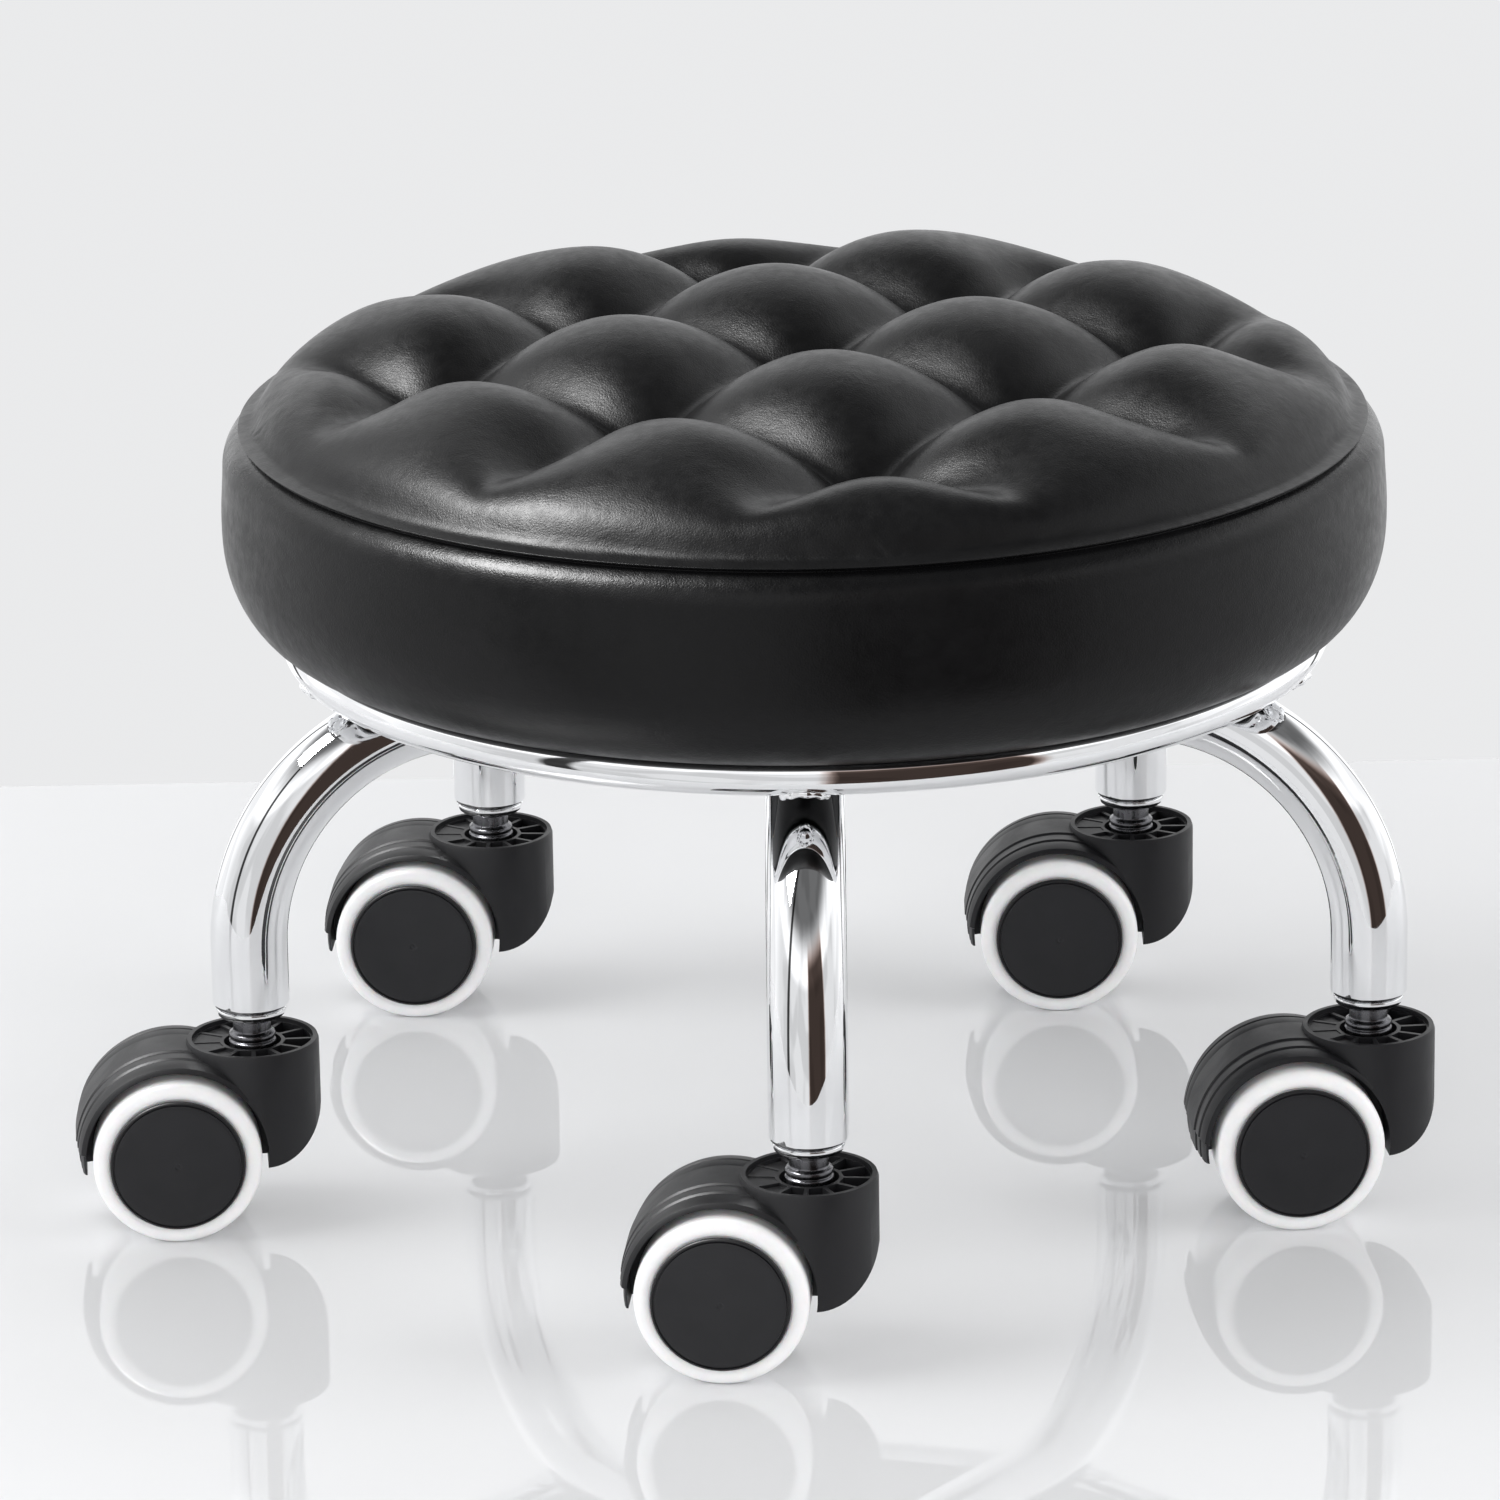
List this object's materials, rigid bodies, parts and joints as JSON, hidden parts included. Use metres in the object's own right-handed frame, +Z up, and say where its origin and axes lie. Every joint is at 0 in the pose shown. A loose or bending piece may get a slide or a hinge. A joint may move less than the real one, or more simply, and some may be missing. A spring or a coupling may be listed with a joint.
{
  "type": "rolling stool",
  "caption": "Low round rolling stool with a diamond-tufted black seat on a chrome ring, bent chrome tube legs and twin-wheel casters.",
  "frame": {"origin": "on the floor, under the middle of the bounding box. The seat's axis stands at x = 0.016999, y = 0.01244, because every caster trails towards -X", "axes": "+Z up, -Y towards the front leg, +X to the right of someone who faces the front leg"},
  "size_m": [0.3904, 0.3578, 0.25],
  "materials": {
    "black_faux_leather": "satin, fine smooth grain",
    "foam": "open-cell foam",
    "plywood": "unfinished",
    "dust_cloth": "non-woven",
    "chrome": "mirror-bright chrome plate",
    "zinc_plated_steel": "bright zinc plate",
    "black_nylon": "fine matt moulded texture",
    "white_polyurethane": "smooth, semi-gloss"
  },
  "bodies": {
    "stool_frame": {"seat_cover": "black_faux_leather", "seat_foam": "foam", "seat_board": "plywood", "dust_cover": "dust_cloth", "mounting_plate": "zinc_plated_steel", "centre_hub": "chrome", "seat_ring": "chrome", "seat_screw_1": "zinc_plated_steel", "seat_screw_2": "zinc_plated_steel", "seat_screw_3": "zinc_plated_steel", "seat_screw_4": "zinc_plated_steel", "seat_screw_5": "zinc_plated_steel", "leg_front": "chrome", "leg_right": "chrome", "leg_back_right": "chrome", "leg_back_left": "chrome", "leg_left": "chrome", "leg_sleeve_front": "chrome", "leg_sleeve_right": "chrome", "leg_sleeve_back_right": "chrome", "leg_sleeve_back_left": "chrome", "leg_sleeve_left": "chrome", "caster_stem_front": "zinc_plated_steel", "caster_stem_right": "zinc_plated_steel", "caster_stem_back_right": "zinc_plated_steel", "caster_stem_back_left": "zinc_plated_steel", "caster_stem_left": "zinc_plated_steel"},
    "caster_front": {"caster_hood_front": "black_nylon", "caster_axle_front": "zinc_plated_steel"},
    "wheel_front_a": {"wheel_core_front_a": "black_nylon", "tyre_front_a": "white_polyurethane"},
    "wheel_front_b": {"wheel_core_front_b": "black_nylon", "tyre_front_b": "white_polyurethane"},
    "caster_right": {"caster_hood_right": "black_nylon", "caster_axle_right": "zinc_plated_steel"},
    "wheel_right_a": {"wheel_core_right_a": "black_nylon", "tyre_right_a": "white_polyurethane"},
    "wheel_right_b": {"wheel_core_right_b": "black_nylon", "tyre_right_b": "white_polyurethane"},
    "caster_back_right": {"caster_hood_back_right": "black_nylon", "caster_axle_back_right": "zinc_plated_steel"},
    "wheel_back_right_a": {"wheel_core_back_right_a": "black_nylon", "tyre_back_right_a": "white_polyurethane"},
    "wheel_back_right_b": {"wheel_core_back_right_b": "black_nylon", "tyre_back_right_b": "white_polyurethane"},
    "caster_back_left": {"caster_hood_back_left": "black_nylon", "caster_axle_back_left": "zinc_plated_steel"},
    "wheel_back_left_a": {"wheel_core_back_left_a": "black_nylon", "tyre_back_left_a": "white_polyurethane"},
    "wheel_back_left_b": {"wheel_core_back_left_b": "black_nylon", "tyre_back_left_b": "white_polyurethane"},
    "caster_left": {"caster_hood_left": "black_nylon", "caster_axle_left": "zinc_plated_steel"},
    "wheel_left_a": {"wheel_core_left_a": "black_nylon", "tyre_left_a": "white_polyurethane"},
    "wheel_left_b": {"wheel_core_left_b": "black_nylon", "tyre_left_b": "white_polyurethane"}
  },
  "joints": [
    {"name": "swivel_front", "type": "hinge", "parent": "stool_frame", "child": "caster_front", "pos_m": [0.017, -0.15506, 0.05], "axis": [0, 0, 1], "continuous": true},
    {"name": "roll_front_a", "type": "hinge", "parent": "caster_front", "child": "wheel_front_a", "pos_m": [-0.00565, -0.15348, 0.024], "axis": [-0.0698, -0.9976, 0], "continuous": true},
    {"name": "roll_front_b", "type": "hinge", "parent": "caster_front", "child": "wheel_front_b", "pos_m": [-0.00565, -0.15348, 0.024], "axis": [-0.0698, -0.9976, 0], "continuous": true},
    {"name": "swivel_right", "type": "hinge", "parent": "stool_frame", "child": "caster_right", "pos_m": [0.1763, -0.03932, 0.05], "axis": [0, 0, 1], "continuous": true},
    {"name": "roll_right_a", "type": "hinge", "parent": "caster_right", "child": "wheel_right_a", "pos_m": [0.15375, -0.04189, 0.024], "axis": [0.1132, -0.9936, 0], "continuous": true},
    {"name": "roll_right_b", "type": "hinge", "parent": "caster_right", "child": "wheel_right_b", "pos_m": [0.15375, -0.04189, 0.024], "axis": [0.1132, -0.9936, 0], "continuous": true},
    {"name": "swivel_back_right", "type": "hinge", "parent": "stool_frame", "child": "caster_back_right", "pos_m": [0.11545, 0.14795, 0.05], "axis": [0, 0, 1], "continuous": true},
    {"name": "roll_back_right_a", "type": "hinge", "parent": "caster_back_right", "child": "wheel_back_right_a", "pos_m": [0.09275, 0.14795, 0.024], "axis": [0, -1, 0], "continuous": true},
    {"name": "roll_back_right_b", "type": "hinge", "parent": "caster_back_right", "child": "wheel_back_right_b", "pos_m": [0.09275, 0.14795, 0.024], "axis": [0, -1, 0], "continuous": true},
    {"name": "swivel_back_left", "type": "hinge", "parent": "stool_frame", "child": "caster_back_left", "pos_m": [-0.08145, 0.14795, 0.05], "axis": [0, 0, 1], "continuous": true},
    {"name": "roll_back_left_a", "type": "hinge", "parent": "caster_back_left", "child": "wheel_back_left_a", "pos_m": [-0.10414, 0.14874, 0.024], "axis": [-0.0349, -0.9994, 0], "continuous": true},
    {"name": "roll_back_left_b", "type": "hinge", "parent": "caster_back_left", "child": "wheel_back_left_b", "pos_m": [-0.10414, 0.14874, 0.024], "axis": [-0.0349, -0.9994, 0], "continuous": true},
    {"name": "swivel_left", "type": "hinge", "parent": "stool_frame", "child": "caster_left", "pos_m": [-0.1423, -0.03932, 0.05], "axis": [0, 0, 1], "continuous": true},
    {"name": "roll_left_a", "type": "hinge", "parent": "caster_left", "child": "wheel_left_a", "pos_m": [-0.1649, -0.0415, 0.024], "axis": [0.0958, -0.9954, 0], "continuous": true},
    {"name": "roll_left_b", "type": "hinge", "parent": "caster_left", "child": "wheel_left_b", "pos_m": [-0.1649, -0.0415, 0.024], "axis": [0.0958, -0.9954, 0], "continuous": true}
  ]
}
